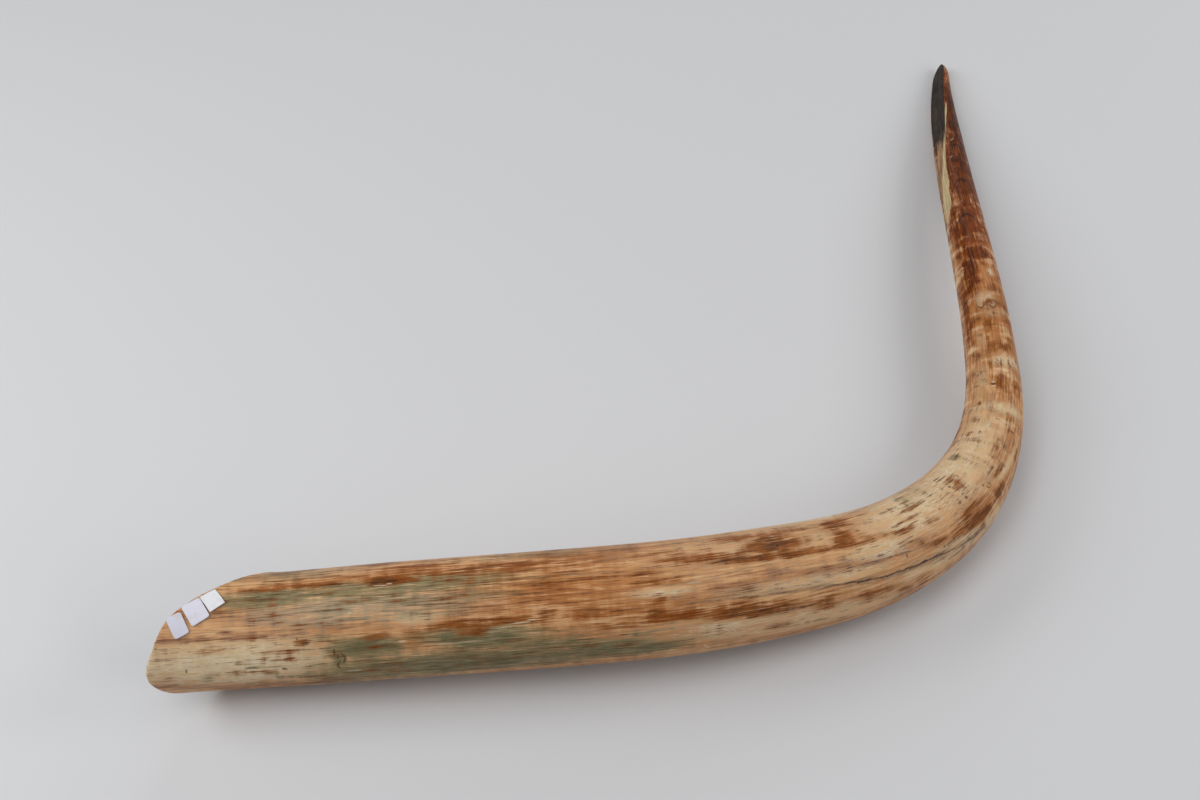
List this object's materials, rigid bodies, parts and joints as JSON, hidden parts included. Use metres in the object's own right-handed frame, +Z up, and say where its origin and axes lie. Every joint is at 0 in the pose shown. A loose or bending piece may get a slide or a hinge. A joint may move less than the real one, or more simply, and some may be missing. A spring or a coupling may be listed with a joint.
{
  "type": "mammoth tusk",
  "caption": "Long curved mammoth tusk lying on its side, open and hollow at the root, with a worn blunt tip and blank paper labels by the root.",
  "frame": {"origin": "on the surface the tusk lies on, at the middle of the tusk's bounding box seen from above", "axes": "+X along the thick lower run from the open root towards the bend, +Y along the thin end towards the tip, +Z up from the surface it lies on"},
  "size_m": [0.6552, 0.6857, 0.0912],
  "materials": {
    "ivory": "satin",
    "label_white": "matte",
    "label_lilac": "matte"
  },
  "bodies": {
    "root": {"tusk": "ivory", "paper_label_upper": "label_white", "paper_label_middle": "label_lilac", "paper_label_lower": "label_lilac"}
  },
  "joints": []
}
